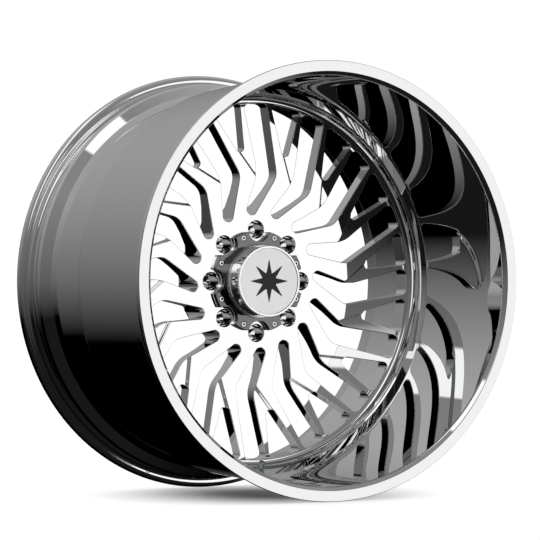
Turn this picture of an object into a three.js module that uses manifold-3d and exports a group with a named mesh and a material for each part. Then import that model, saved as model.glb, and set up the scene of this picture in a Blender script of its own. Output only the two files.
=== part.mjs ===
// Forged 26 x 16 inch deep-lip truck wheel with an eight-lug bolt-on centre cap and a clamp-in tyre valve.
// Millimetres, +Z up. The wheel turns about the Y axis; the street side faces -Y.
// The origin is on that axis, half-way between the two rim flanges.
import * as THREE from 'three';
import { mergeVertices } from 'three/addons/utils/BufferGeometryUtils.js';
import Module from 'manifold-3d';

const wasm = await Module();
wasm.setup();

// ---- Driving dimensions -------------------------------------------------------------------
const SEGMENTS = 48;              // facets round the barrel and the centre
const CAP_SEGMENTS = 32;          // facets round the centre cap
const SMALL_SEGMENTS = 12;        // facets round small turned parts
const ARC_STEP = 24;              // degrees per facet on rounded outline corners
const FIT_GAP = 0.3;              // clearance between separate pieces that rest on each other

const FLANGE_RADIUS = 347.5;      // outside of both rim flanges
const HALF_WIDTH = 214;           // origin to the outer face of a flange
const INNER_HALF_WIDTH = 203.2;   // half of the 16 inch width between the flanges
const BEAD_SEAT_RADIUS = 330.2;   // 26 inch bead seat
const BAND_INNER_RADIUS = 330.4;  // inner edge of the flat band on the front flange
const LIP_FRONT_RADIUS = 324;     // inside of the lip just behind the band
const LIP_FOOT_RADIUS = 315.5;    // inside of the lip at its foot
const LIP_FOOT_Y = 3;
const BARREL_BORE_RADIUS = 305.5; // bore that holds the centre
const BARREL_STEP_Y = 18;         // front end of that bore
const WELL_RADIUS = 312.5;        // outside of the drop well

const FACE_Y = 32.5;              // flat front face of the spokes
const PAD_Y = 101;                // hub mounting pad
const PAD_RADIUS = 108;
const HUB_BORE_RADIUS = 62.5;
const RING_FILLET = 14.5;         // concave fillet between the face and the step
const SLOT_END_RADIUS = 293.3;    // outer ends of the slots
const SPOKE_BACK_Y = 57.5;        // back of the spokes
const RING_BACK_Y = 67;

const SPOKE_UNITS = 16;
const BRANCH_SETBACK = 4;         // side branches lie this far behind the face
const BRANCH_OUTER_RADIUS = 290;

const LUGS = 8;
const LUG_CIRCLE_RADIUS = 85;     // 8 x 170 mm
const LUG_POCKET_RADIUS = 14.6;
const LUG_POCKET_DEPTH = 30;
const LUG_SEAT_DEPTH = 12;        // length of the conical seat
const LUG_HOLE_RADIUS = 7.9;

const CAP_TOP_Y = -11.2;          // front of the centre cap
const CAP_FLANGE_Y = 22.9;        // front of the cap's flange
const CAP_FLANGE_RADIUS = 83.5;
const CAP_BODY_RADIUS = 58;
const CAP_INNER_RADIUS = 52;
const PLATE_RADIUS = 53.9;        // emblem plate, seated on the end of the cap's wall
const PLATE_RECESS = 1.4;         // plate front behind the front of the cap
const PLATE_THICKNESS = 1.3;
const ORING_WIRE = 1.2;
const ORING_GROOVE = [34.4, 37.4];  // y of the groove's two walls in the spigot
const ORING_GROOVE_DEPTH = 2.4;
const INLAY_RADII = [36, 13];     // tips and valleys of the rosette
const INLAY_THICKNESS = 0.5;
const CAP_SPIGOT_RADIUS = 62.1;
const CAP_SPIGOT_Y = 42;
const CAP_SCALLOP_RADIUS = 20;
const CAP_SCREW_CIRCLE = 76.3;
const SCREW_HEAD_RADIUS = 4.2;
const SCREW_HEAD_HEIGHT = 4.6;
const SCREW_RADIUS = 2.4;
const SCREW_LENGTH = 19;
const SCREW_RECESS_RADIUS = 5.2;
const SCREW_RECESS_DEPTH = 4;
const TAPPED_HOLE_RADIUS = 2.8;

const VALVE_ANGLE = 181.5;        // clockwise from the top, seen from the street side
const VALVE_WALL = 11.5;          // metal between the two spot faces
const VALVE_HOLE_RADIUS = 5.7;
const VALVE_STEM_RADIUS = 5.2;
const VALVE_THREAD_RADIUS = 3.85;
const VALVE_SPOT_RADIUS = 9.6;    // flat spot faces on both sides of the wall
const VALVE_SEAL_RADIUS = 8.6;    // outside of the grommet and the washer
const VALVE_HEAD_RADIUS = 8;
const VALVE_HEAD_GAP = 4.5;       // room for the grommet between the wall and the head
const VALVE_HEAD_HEIGHT = 3.5;
const VALVE_SHANK_TOP = 8.6;
const VALVE_TOP = 18;             // stem end above the spot face
const AIR_HOLE_RADIUS = 1.4;      // through the foot of the stem
const VALVE_BORE_RADIUS = 2.6;
const VALVE_CORE_FOOT = 5;        // inner end of the core, where the pin's foot seals
const SPRING_SEAT = -3;           // step in the stem's bore that carries the pin's spring
const SPRING_WIRE = 0.25;
const PIN_FOOT = 1.3;             // thickness of the pin's sealing foot
const PIN_RADIUS = 0.55;
const PIN_BORE_RADIUS = 0.9;
const NUT_LOW = 2.1;
const NUT_HIGH = 8.3;
const DUST_CAP_LOW = 9.9;
const DUST_CAP_HIGH = 21.4;
const DUST_CAP_RADIUS = 5.3;
const DUST_CAP_GRIPS = 8;

// ---- Materials ----------------------------------------------------------------------------
const metal = (color, roughness) => new THREE.MeshStandardMaterial({ color, roughness, metalness: 1 });
const plain = (color, roughness) => new THREE.MeshStandardMaterial({ color, roughness, metalness: 0 });
const polished = metal(0xdfe1e3, 0.05);
const chrome = metal(0xc9ccd0, 0.08);
const brass = metal(0xc8a25a, 0.3);
const rubber = plain(0x181818, 0.8);
const paleEnamel = plain(0xe6e6e4, 0.35);
const blackEnamel = plain(0x1a1a1c, 0.3);

// ---- Geometry helpers ---------------------------------------------------------------------
const rad = (degrees) => degrees * Math.PI / 180;

/** Points of a circular arc; both angles in degrees. */
function arc(cx, cy, radius, from, to, steps) {
  return Array.from({ length: steps + 1 }, (_, i) => {
    const a = rad(from + (to - from) * i / steps);
    return [cx + radius * Math.cos(a), cy + radius * Math.sin(a)];
  });
}

/** Closed outline through corners [x, y, fillet radius]. */
function roundedOutline(corners) {
  const points = [];
  corners.forEach(([x, y, fillet = 0], i) => {
    const [px, py] = corners[(i + corners.length - 1) % corners.length];
    const [nx, ny] = corners[(i + 1) % corners.length];
    const back = new THREE.Vector2(px - x, py - y).normalize();
    const ahead = new THREE.Vector2(nx - x, ny - y).normalize();
    const half = Math.acos(THREE.MathUtils.clamp(back.dot(ahead), -1, 1)) / 2;
    if (fillet === 0) {
      points.push(new THREE.Vector2(x, y));
      return;
    }
    const centre = back.clone().add(ahead).normalize().multiplyScalar(fillet / Math.sin(half));
    const start = back.clone().multiplyScalar(fillet / Math.tan(half)).sub(centre);
    const side = Math.sign(back.cross(ahead));
    const turn = Math.PI - 2 * half;
    const steps = Math.max(2, Math.round(THREE.MathUtils.radToDeg(turn) / ARC_STEP));
    for (let k = 0; k <= steps; k += 1) {
      const p = start.clone().rotateAround(new THREE.Vector2(), side * -turn * k / steps);
      points.push(p.add(centre).add(new THREE.Vector2(x, y)));
    }
  });
  return points;
}

/** Merged, outward-facing closed mesh as a manifold solid. */
function solid(geometry) {
  const bare = geometry.index ? geometry.toNonIndexed() : geometry.clone();
  bare.deleteAttribute('normal');
  bare.deleteAttribute('uv');
  const merged = mergeVertices(bare, 1e-4);
  const position = merged.attributes.position;
  const index = Array.from(merged.index.array);
  const kept = [];
  const [a, b, c] = [new THREE.Vector3(), new THREE.Vector3(), new THREE.Vector3()];
  let volume = 0;
  for (let i = 0; i < index.length; i += 3) {
    const [u, v, w] = index.slice(i, i + 3);
    if (u === v || v === w || u === w) continue;
    kept.push(u, v, w);
    [a, b, c].forEach((corner, k) => corner.fromBufferAttribute(position, index[i + k]));
    volume += a.dot(b.cross(c));
  }
  if (volume < 0) {
    for (let i = 0; i < kept.length; i += 3) [kept[i], kept[i + 1]] = [kept[i + 1], kept[i]];
  }
  return new wasm.Manifold(new wasm.Mesh({
    numProp: 3,
    vertProperties: new Float32Array(position.array),
    triVerts: new Uint32Array(kept),
  }));
}

/** Manifold solid back to a three.js geometry. */
function geometryOf(body) {
  const mesh = body.getMesh();
  const geometry = new THREE.BufferGeometry();
  geometry.setAttribute('position', new THREE.BufferAttribute(new Float32Array(mesh.vertProperties), 3));
  geometry.setIndex(new THREE.BufferAttribute(new Uint32Array(mesh.triVerts), 1));
  geometry.computeVertexNormals();
  return geometry;
}

/** Ring or disc turned about the Y axis from a profile of [radius, y] points. */
function turned(profile, segments = SMALL_SEGMENTS) {
  const points = profile.map(([r, y]) => new THREE.Vector2(r, y));
  const onAxis = profile[0][0] === 0 && profile.at(-1)[0] === 0;
  if (!onAxis) points.push(points[0].clone());
  return solid(new THREE.LatheGeometry(points, segments));
}

/** Outline drawn as seen from the street side, extruded from yBack forward to yFront. */
function prism(outline, yFront, yBack) {
  const shape = new THREE.Shape(outline);
  const geometry = new THREE.ExtrudeGeometry(shape, { depth: yBack - yFront, bevelEnabled: false });
  geometry.rotateX(Math.PI / 2);
  geometry.translate(0, yBack, 0);
  return solid(geometry);
}

/** Cylinder about the Y axis between two y values, tapering from one radius to another. */
function rod(radiusFront, radiusBack, yFront, yBack, segments = SMALL_SEGMENTS) {
  return turned([[0, yFront], [radiusFront, yFront], [radiusBack, yBack], [0, yBack]], segments);
}

/** The same solid moved to a clockwise angle (seen from the street side) and a radius. */
function placed(body, degrees, radius = 0) {
  const m = new THREE.Matrix4().makeRotationY(rad(degrees));
  m.multiply(new THREE.Matrix4().makeTranslation(0, 0, radius));
  return body.transform(m.elements);
}

const wheel = new THREE.Group();

function addMesh(name, body, material, parent = wheel) {
  const mesh = new THREE.Mesh(geometryOf(body), material);
  mesh.name = name;
  parent.add(mesh);
}

// ---- Barrel -------------------------------------------------------------------------------
function flangeSide(sign) {
  const y = (v) => sign * v;
  return [
    [BEAD_SEAT_RADIUS - 1.4, y(166)],
    [BEAD_SEAT_RADIUS + 1.2, y(172)],
    [BEAD_SEAT_RADIUS - 0.6, y(180)],
    [BEAD_SEAT_RADIUS + 1.4, y(198.5)],
    [BEAD_SEAT_RADIUS + 6, y(INNER_HALF_WIDTH)],
    [FLANGE_RADIUS - 3, y(INNER_HALF_WIDTH)],
    [FLANGE_RADIUS, y(INNER_HALF_WIDTH + 3)],
    [FLANGE_RADIUS, y(HALF_WIDTH - 1)],
    [FLANGE_RADIUS - 1, y(HALF_WIDTH)],
  ];
}

function barrelProfile() {
  const outside = [
    ...flangeSide(-1).reverse(),
    [322.4, 36],
    [321.2, 39.5],
    [WELL_RADIUS + 1.2, 58],
    [WELL_RADIUS, 63],
    [WELL_RADIUS + 1, 152],
    ...flangeSide(1),
  ];
  const rearInside = [
    [334, HALF_WIDTH],
    [326.5, 209],
    [324.2, INNER_HALF_WIDTH],
    [321.5, 168],
    [307, 154],
    [BARREL_BORE_RADIUS, 148],
    [BARREL_BORE_RADIUS, BARREL_STEP_Y + 1],
    [BARREL_BORE_RADIUS + 1, BARREL_STEP_Y - 1],
    [BARREL_BORE_RADIUS + 2.2, BARREL_STEP_Y - 2],
  ];
  const lipInside = [
    [LIP_FOOT_RADIUS, LIP_FOOT_Y],
    [LIP_FRONT_RADIUS, 8 - HALF_WIDTH],
    [LIP_FRONT_RADIUS + 1.6, 3.6 - HALF_WIDTH],
    [BAND_INNER_RADIUS - 2, 1 - HALF_WIDTH],
    [BAND_INNER_RADIUS, -HALF_WIDTH],
  ];
  return [...outside, ...rearInside, ...lipInside];
}

/** Frame of the valve: local +Z runs out of the wall into the open lip. */
function valveFrame() {
  const foot = new THREE.Vector2(LIP_FOOT_RADIUS, LIP_FOOT_Y);
  const step = new THREE.Vector2(BARREL_BORE_RADIUS + 2.2, BARREL_STEP_Y - 2);
  const along = step.clone().sub(foot);
  const normal = new THREE.Vector2(-along.y, along.x).normalize();
  const seat = foot.clone().lerp(step, 0.5).addScaledVector(normal, -1);
  const outward = new THREE.Vector3(Math.sin(rad(VALVE_ANGLE)), 0, Math.cos(rad(VALVE_ANGLE)));
  const axis = outward.clone().multiplyScalar(normal.x).setY(normal.y);
  const frame = new THREE.Group();
  frame.position.copy(outward.multiplyScalar(seat.x).setY(seat.y));
  frame.quaternion.setFromUnitVectors(new THREE.Vector3(0, 0, 1), axis);
  frame.updateMatrix();
  return frame;
}

/** Turned solid about the local Z axis of the valve; the profile holds [radius, height]. */
function valveTurned(profile, segments = SMALL_SEGMENTS) {
  return turned(profile, segments).rotate([90, 0, 0]);
}

/** Ring or disc between two heights on the valve's axis. */
function valveRing(inner, outer, low, high) {
  return valveTurned([[inner, low], [outer, low], [outer, high], [inner, high]]);
}

function valveCutter(frame) {
  const hole = valveRing(0, VALVE_HOLE_RADIUS, -40, 30);
  const lipSpot = valveRing(0, VALVE_SPOT_RADIUS, 0, 12);
  const airSpot = valveRing(0, VALVE_SPOT_RADIUS, -40, -VALVE_WALL);
  return hole.add(lipSpot).add(airSpot).transform(frame.matrix.elements);
}

// ---- Centre -------------------------------------------------------------------------------
function centreProfile() {
  const rim = BARREL_BORE_RADIUS - FIT_GAP;
  return [
    [HUB_BORE_RADIUS, FACE_Y],
    ...arc(rim - RING_FILLET, FACE_Y - RING_FILLET, RING_FILLET, 90, 0, 4),
    [rim, RING_BACK_Y],
    [SLOT_END_RADIUS + 4, RING_BACK_Y],
    [SLOT_END_RADIUS - 5, SPOKE_BACK_Y],
    [165, SPOKE_BACK_Y],
    [128, SPOKE_BACK_Y + 10],
    [PAD_RADIUS + 2, SPOKE_BACK_Y + 30],
    [PAD_RADIUS, PAD_Y],
    [HUB_BORE_RADIUS, PAD_Y],
  ];
}

/** Long slot between two spokes: a hooked window that widens towards the rim. */
function longSlotOutline() {
  return roundedOutline([
    [-21.9, SLOT_END_RADIUS - 0.8, 9],
    [4.8, 184, 45],
    [-18.6, 115.3, 8.2],
    [-10, 108.8, 4.5],
    [-2.2, 109.9, 7.5],
    [39.5, 172.8, 26],
    [20.2, SLOT_END_RADIUS - 0.7, 9],
  ]);
}

/** Short slot that splits a spoke's outer half into the spoke and its side branch. */
function shortSlotOutline() {
  return roundedOutline([
    [28.2, SLOT_END_RADIUS - 1.4, 7],
    [50.6, 207, 6.2],
    [63.2, 206, 6.2],
    [85.6, SLOT_END_RADIUS - 13, 7],
  ]);
}

/** Sloped-edge pocket that sets one side branch back behind the face. */
function branchPocket() {
  const outline = (shift, y) => [
    [50.9 + shift, 207.5],
    [65.5 + shift, 159],
    [74, 150],
    [110, 190],
    [BRANCH_OUTER_RADIUS * Math.sin(rad(23)), BRANCH_OUTER_RADIUS * Math.cos(rad(23))],
    [BRANCH_OUTER_RADIUS * Math.sin(rad(17)), BRANCH_OUTER_RADIUS * Math.cos(rad(17))],
    [BRANCH_OUTER_RADIUS * Math.sin(rad(13)), BRANCH_OUTER_RADIUS * Math.cos(rad(13))],
  ].map(([x, z]) => [x, y, z]);
  const front = outline(-0.4, FACE_Y - 0.4);
  const back = outline(BRANCH_SETBACK, FACE_Y + BRANCH_SETBACK);
  const n = front.length;
  const corners = [...front, ...back];
  const faces = [];
  for (let i = 1; i < n - 1; i += 1) {
    faces.push(0, i, i + 1, n, n + i + 1, n + i);
  }
  for (let i = 0; i < n; i += 1) {
    const j = (i + 1) % n;
    faces.push(i, n + i, j, j, n + i, n + j);
  }
  const geometry = new THREE.BufferGeometry();
  geometry.setAttribute('position', new THREE.Float32BufferAttribute(corners.flat(), 3));
  geometry.setIndex(faces);
  return solid(geometry);
}

function lugHole() {
  const pocketEnd = FACE_Y + LUG_POCKET_DEPTH;
  return turned([
    [0, FACE_Y - 5],
    [LUG_POCKET_RADIUS, FACE_Y - 5],
    [LUG_POCKET_RADIUS, pocketEnd],
    [LUG_HOLE_RADIUS, pocketEnd + LUG_SEAT_DEPTH],
    [LUG_HOLE_RADIUS, PAD_Y + 5],
    [0, PAD_Y + 5],
  ]);
}

function buildCentre() {
  const slot = prism(longSlotOutline(), 0, 130);
  const split = prism(shortSlotOutline(), 0, 130);
  const pocket = branchPocket();
  const lug = lugHole();
  const tapped = rod(TAPPED_HOLE_RADIUS, TAPPED_HOLE_RADIUS, FACE_Y - 1, FACE_Y + 15, 8);
  let body = turned(centreProfile(), SEGMENTS);
  for (let i = 0; i < SPOKE_UNITS; i += 1) {
    const angle = i * 360 / SPOKE_UNITS;
    body = body.subtract(placed(pocket, angle)).subtract(placed(split, angle));
  }
  for (let i = 0; i < SPOKE_UNITS; i += 1) {
    body = body.subtract(placed(slot, i * 360 / SPOKE_UNITS));
  }
  for (let i = 0; i < LUGS; i += 1) {
    body = body.subtract(placed(lug, i * 360 / LUGS, LUG_CIRCLE_RADIUS));
    body = body.subtract(placed(tapped, (i + 0.5) * 360 / LUGS, CAP_SCREW_CIRCLE));
  }
  return body;
}

// ---- Centre cap ---------------------------------------------------------------------------
function buildCapBase() {
  const back = FACE_Y - FIT_GAP;
  let body = turned([
    [CAP_INNER_RADIUS, CAP_TOP_Y + 3],
    [CAP_BODY_RADIUS, CAP_TOP_Y + 3],
    [CAP_BODY_RADIUS, CAP_FLANGE_Y - 2],
    [CAP_BODY_RADIUS + 2, CAP_FLANGE_Y],
    [CAP_FLANGE_RADIUS - 1.2, CAP_FLANGE_Y],
    [CAP_FLANGE_RADIUS, CAP_FLANGE_Y + 1.2],
    [CAP_FLANGE_RADIUS, back],
    [CAP_SPIGOT_RADIUS, back],
    [CAP_SPIGOT_RADIUS, ORING_GROOVE[0]],
    [CAP_SPIGOT_RADIUS - ORING_GROOVE_DEPTH, ORING_GROOVE[0]],
    [CAP_SPIGOT_RADIUS - ORING_GROOVE_DEPTH, ORING_GROOVE[1]],
    [CAP_SPIGOT_RADIUS, ORING_GROOVE[1]],
    [CAP_SPIGOT_RADIUS, CAP_SPIGOT_Y - 1],
    [CAP_SPIGOT_RADIUS - 1, CAP_SPIGOT_Y],
    [CAP_INNER_RADIUS, CAP_SPIGOT_Y],
  ], CAP_SEGMENTS);
  const scallop = rod(CAP_SCALLOP_RADIUS, CAP_SCALLOP_RADIUS, CAP_FLANGE_Y - 5, FACE_Y + 1, 16);
  const recess = rod(SCREW_RECESS_RADIUS, SCREW_RECESS_RADIUS, CAP_FLANGE_Y - 1,
    CAP_FLANGE_Y + SCREW_RECESS_DEPTH, 12);
  const hole = rod(SCREW_RADIUS + 0.4, SCREW_RADIUS + 0.4, CAP_FLANGE_Y, FACE_Y + 1, 8);
  for (let i = 0; i < LUGS; i += 1) {
    const between = (i + 0.5) * 360 / LUGS;
    body = body.subtract(placed(scallop, i * 360 / LUGS, LUG_CIRCLE_RADIUS));
    body = body.subtract(placed(recess, between, CAP_SCREW_CIRCLE));
    body = body.subtract(placed(hole, between, CAP_SCREW_CIRCLE));
  }
  return body;
}

function buildCapRing() {
  const back = CAP_TOP_Y + 3 - FIT_GAP;
  const inner = PLATE_RADIUS + FIT_GAP;
  return turned([
    [inner, CAP_TOP_Y + 0.6],
    [inner + 0.6, CAP_TOP_Y],
    [CAP_BODY_RADIUS - 1, CAP_TOP_Y],
    [CAP_BODY_RADIUS, CAP_TOP_Y + 1],
    [CAP_BODY_RADIUS, back],
    [inner, back],
  ], CAP_SEGMENTS);
}

function buildEmblemPlate() {
  const front = CAP_TOP_Y + PLATE_RECESS;
  return rod(PLATE_RADIUS, PLATE_RADIUS, front, front + PLATE_THICKNESS, CAP_SEGMENTS);
}

/** Plain eight-bladed rosette. */
function buildEmblemInlay() {
  const outline = [];
  for (let i = 0; i < 2 * LUGS; i += 1) {
    const radius = INLAY_RADII[i % 2];
    const a = Math.PI * i / LUGS;
    outline.push(new THREE.Vector2(radius * Math.sin(a), radius * Math.cos(a)));
  }
  const back = CAP_TOP_Y + PLATE_RECESS - FIT_GAP;
  return prism(outline.reverse(), back - INLAY_THICKNESS, back);
}

function buildCapOring() {
  const radius = CAP_SPIGOT_RADIUS - 0.9;
  const middle = (ORING_GROOVE[0] + ORING_GROOVE[1]) / 2;
  return turned(arc(radius, middle, ORING_WIRE, 0, 288, 4), CAP_SEGMENTS);
}

function buildCapScrew() {
  const seat = CAP_FLANGE_Y + SCREW_RECESS_DEPTH - FIT_GAP;
  const top = seat - SCREW_HEAD_HEIGHT;
  const body = turned([
    [0, top],
    [SCREW_HEAD_RADIUS - 0.6, top],
    [SCREW_HEAD_RADIUS, top + 0.6],
    [SCREW_HEAD_RADIUS, seat],
    [SCREW_RADIUS, seat],
    [SCREW_RADIUS, seat + SCREW_LENGTH],
    [0, seat + SCREW_LENGTH],
  ], 12);
  return body.subtract(rod(2.3, 2.3, top - 1, top + 2.6, 6));
}

// ---- Valve --------------------------------------------------------------------------------
function buildValveStem() {
  const head = -VALVE_WALL - VALVE_HEAD_GAP;
  return valveTurned([
    [AIR_HOLE_RADIUS, head - VALVE_HEAD_HEIGHT],
    [VALVE_HEAD_RADIUS, head - VALVE_HEAD_HEIGHT],
    [VALVE_HEAD_RADIUS, head],
    [VALVE_STEM_RADIUS, head],
    [VALVE_STEM_RADIUS, VALVE_SHANK_TOP],
    [VALVE_THREAD_RADIUS, VALVE_SHANK_TOP + 0.8],
    [VALVE_THREAD_RADIUS, VALVE_TOP - 0.6],
    [VALVE_THREAD_RADIUS - 0.6, VALVE_TOP],
    [VALVE_BORE_RADIUS, VALVE_TOP],
    [VALVE_BORE_RADIUS, SPRING_SEAT],
    [AIR_HOLE_RADIUS, SPRING_SEAT],
  ]);
}

function buildValveGrommet() {
  const low = FIT_GAP - VALVE_WALL - VALVE_HEAD_GAP;
  return valveRing(VALVE_STEM_RADIUS + FIT_GAP, VALVE_SEAL_RADIUS, low, -VALVE_WALL - FIT_GAP);
}

function buildValveWasher() {
  return valveRing(VALVE_STEM_RADIUS + FIT_GAP, VALVE_SEAL_RADIUS, FIT_GAP, NUT_LOW - FIT_GAP);
}

function buildValveNut() {
  const hexagon = [[0, NUT_LOW], [8.1, NUT_LOW], [8.1, NUT_HIGH - 1], [7.2, NUT_HIGH], [0, NUT_HIGH]];
  return valveTurned(hexagon, 6).subtract(valveRing(0, VALVE_STEM_RADIUS + FIT_GAP, 0, 12));
}

function buildValveCore() {
  const radius = VALVE_BORE_RADIUS - FIT_GAP;
  const top = VALVE_TOP - 1.2;
  return valveTurned([
    [PIN_BORE_RADIUS, VALVE_CORE_FOOT],
    [radius, VALVE_CORE_FOOT],
    [radius, top - 0.6],
    [radius - 0.5, top],
    [PIN_BORE_RADIUS, top],
  ], 10);
}

function buildValvePin() {
  const sealed = VALVE_CORE_FOOT - FIT_GAP;
  const tip = VALVE_TOP - 0.6;
  return valveTurned([
    [0, sealed - PIN_FOOT],
    [1.9, sealed - PIN_FOOT],
    [1.9, sealed],
    [PIN_RADIUS, sealed],
    [PIN_RADIUS, tip],
    [0, tip],
  ], 8);
}

/** Coil spring between the step in the stem's bore and the pin's foot. */
function buildValveSpring() {
  const turns = 3;
  const coil = 1.5;
  const low = SPRING_SEAT + FIT_GAP + SPRING_WIRE;
  const high = VALVE_CORE_FOOT - FIT_GAP - PIN_FOOT - FIT_GAP - SPRING_WIRE;
  class Helix extends THREE.Curve {
    getPoint(t) {
      const a = 2 * Math.PI * turns * t;
      return new THREE.Vector3(coil * Math.cos(a), coil * Math.sin(a), low + (high - low) * t);
    }
  }
  const wire = new THREE.Shape(arc(0, 0, SPRING_WIRE, 0, 270, 3).map(([x, y]) => new THREE.Vector2(x, y)));
  return solid(new THREE.ExtrudeGeometry(wire, { steps: 24, extrudePath: new Helix() }));
}

function buildValveCap() {
  const inner = VALVE_THREAD_RADIUS + FIT_GAP;
  const roof = DUST_CAP_HIGH - 1.2;
  let cap = valveTurned([
    [inner, DUST_CAP_LOW],
    [DUST_CAP_RADIUS - 0.2, DUST_CAP_LOW],
    [DUST_CAP_RADIUS, DUST_CAP_LOW + 1],
    [DUST_CAP_RADIUS, DUST_CAP_HIGH - 1.4],
    [DUST_CAP_RADIUS - 0.8, DUST_CAP_HIGH],
    [0, DUST_CAP_HIGH],
    [0, roof],
    [inner, roof],
  ]);
  const groove = valveTurned([[0, 11.5], [0.5, 11.5], [0.5, 19], [0, 19]], 4);
  for (let i = 0; i < DUST_CAP_GRIPS; i += 1) {
    const a = 2 * Math.PI * i / DUST_CAP_GRIPS;
    const [x, y] = [Math.cos(a), Math.sin(a)].map((part) => (DUST_CAP_RADIUS + 0.05) * part);
    cap = cap.subtract(groove.translate([x, y, 0]));
  }
  return cap;
}

function buildValveCapSeal() {
  const high = DUST_CAP_HIGH - 1.2 - FIT_GAP - 0.1;
  return valveTurned([[0, high - 1.3], [3.7, high - 1.3], [3.7, high], [0, high]], 10);
}

// ---- Assembly -----------------------------------------------------------------------------
const valve = valveFrame();
wheel.add(valve);

addMesh('rim_barrel', turned(barrelProfile(), SEGMENTS).subtract(valveCutter(valve)), polished);
addMesh('forged_centre', buildCentre(), polished);

addMesh('cap_base', buildCapBase(), polished);
addMesh('cap_ring', buildCapRing(), polished);
addMesh('emblem_plate', buildEmblemPlate(), paleEnamel);
addMesh('emblem_inlay', buildEmblemInlay(), blackEnamel);
addMesh('cap_oring', buildCapOring(), rubber);
for (let i = 0; i < LUGS; i += 1) {
  const screw = placed(buildCapScrew(), (i + 0.5) * 360 / LUGS, CAP_SCREW_CIRCLE);
  addMesh(`cap_screw_${i + 1}`, screw, chrome);
}

addMesh('valve_stem', buildValveStem(), chrome, valve);
addMesh('valve_grommet', buildValveGrommet(), rubber, valve);
addMesh('valve_washer', buildValveWasher(), chrome, valve);
addMesh('valve_nut', buildValveNut(), chrome, valve);
addMesh('valve_core', buildValveCore(), brass, valve);
addMesh('valve_pin', buildValvePin(), brass, valve);
addMesh('valve_spring', buildValveSpring(), chrome, valve);
addMesh('valve_cap', buildValveCap(), chrome, valve);
addMesh('valve_cap_seal', buildValveCapSeal(), rubber, valve);

export default wheel;
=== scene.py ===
import math

import bpy
import numpy as np
from mathutils import Matrix, Vector, geometry


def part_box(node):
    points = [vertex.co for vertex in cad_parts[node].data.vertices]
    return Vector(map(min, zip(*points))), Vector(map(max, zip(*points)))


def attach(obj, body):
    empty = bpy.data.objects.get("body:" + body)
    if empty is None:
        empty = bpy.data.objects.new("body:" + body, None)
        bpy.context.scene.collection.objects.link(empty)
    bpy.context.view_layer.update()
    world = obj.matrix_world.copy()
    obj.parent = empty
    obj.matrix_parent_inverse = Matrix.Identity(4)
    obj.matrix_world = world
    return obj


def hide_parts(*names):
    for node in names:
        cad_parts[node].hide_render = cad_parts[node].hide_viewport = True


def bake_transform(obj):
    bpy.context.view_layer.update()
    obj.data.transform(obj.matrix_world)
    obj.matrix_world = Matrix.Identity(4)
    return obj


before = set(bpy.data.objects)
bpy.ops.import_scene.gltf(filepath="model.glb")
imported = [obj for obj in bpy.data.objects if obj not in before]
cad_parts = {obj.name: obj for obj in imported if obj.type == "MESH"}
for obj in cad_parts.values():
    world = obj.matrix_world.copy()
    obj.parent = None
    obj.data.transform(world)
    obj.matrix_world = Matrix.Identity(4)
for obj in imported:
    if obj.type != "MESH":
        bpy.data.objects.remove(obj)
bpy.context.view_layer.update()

# Lengths below are millimetres and meshes are scaled by MM when they are made. The wheel turns
# about Y, its street side faces -Y, and angles run clockwise from the top as seen from the street.
MM = 0.001


def mm_box(node):
    """Lowest and highest corner of a CAD node in millimetres."""
    low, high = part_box(node)
    return low / MM, high / MM


# ---- Driving dimensions ---------------------------------------------------------------------
BARREL_HIGH = mm_box("rim_barrel")[1]
CENTRE_LOW, CENTRE_HIGH = mm_box("forged_centre")
FLANGE_RADIUS = BARREL_HIGH.z
HALF_WIDTH = BARREL_HIGH.y
INNER_HALF_WIDTH = HALF_WIDTH - 10.8
BEAD_SEAT_RADIUS = FLANGE_RADIUS - 17.3
FLANGE_CURL = 9.4                 # radius that rolls a flange outwards above the tyre's bead
CENTRE_RADIUS = CENTRE_HIGH.z
BARREL_BORE_RADIUS = CENTRE_RADIUS + 0.3
RING_FRONT_Y = CENTRE_LOW.y
PAD_Y = CENTRE_HIGH.y
RING_FILLET = 14.5
FACE_Y = RING_FRONT_Y + RING_FILLET
FACE_RADIUS = 294.0               # where the flat face ends and the fillet up to the step starts
SPOKE_BACK_Y = FACE_Y + 25
RING_BACK_Y = FACE_Y + 34.5
HUB_BORE_RADIUS = 62.5
PAD_RADIUS = 108
SPOKE_UNITS = 16
UNIT = 360 / SPOKE_UNITS
POCKET_DEPTH = 4.0                # side branches lie this far behind the spokes
POCKET_RAMP = 4.6                 # width of the slope down to them
POCKET_OUTER_RADIUS = 291.0
LUGS = 8
LUG_CIRCLE_RADIUS = 85
LUG_POCKET_RADIUS = 14.6
LUG_SEAT_Y = FACE_Y + 30
LUG_HOLE_RADIUS = 7.9
SCREW_CIRCLE = 76.3
SCREW_HEAD_RADIUS = 4.2
CAP_TOP_Y = mm_box("cap_ring")[0].y
CAP_SPIGOT_Y = mm_box("cap_base")[1].y
CAP_FLANGE_Y = FACE_Y - 9.6
CAP_BACK_Y = FACE_Y - 0.3
CAP_FLANGE_RADIUS = 83.5
CAP_BODY_RADIUS = mm_box("cap_ring")[1].z
CAP_INNER_RADIUS = CAP_BODY_RADIUS - 6
PLATE_RADIUS = mm_box("emblem_plate")[1].z
PLATE_Y, PLATE_BACK_Y = mm_box("emblem_plate")[0].y, mm_box("emblem_plate")[1].y
CAP_SPIGOT_RADIUS = 62.1
SCALLOP_RADIUS = 20.0
VALVE_ANGLE = 181.5
VALVE_WALL = 11.5                 # thickness of the barrel at the valve
VALVE_TOP = 18.0                  # height of the stem's mouth above its spot face
NUT_LOW, NUT_HIGH = 2.1, 8.3
NUT_RADIUS = 8.1
NUT_CHAMFER_RADIUS = 7.3          # where the cone on its corners starts
NUT_CHAMFER_SLOPE = 0.6
FRONT_BAND_PAINTED_SHADE = 0.88            # painted shade: share of its brightness that the flange's front face keeps for the camera
CAP_FLANGE_PAINTED_SHADE = 0.18            # painted shade likewise on the cap's flange

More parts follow.
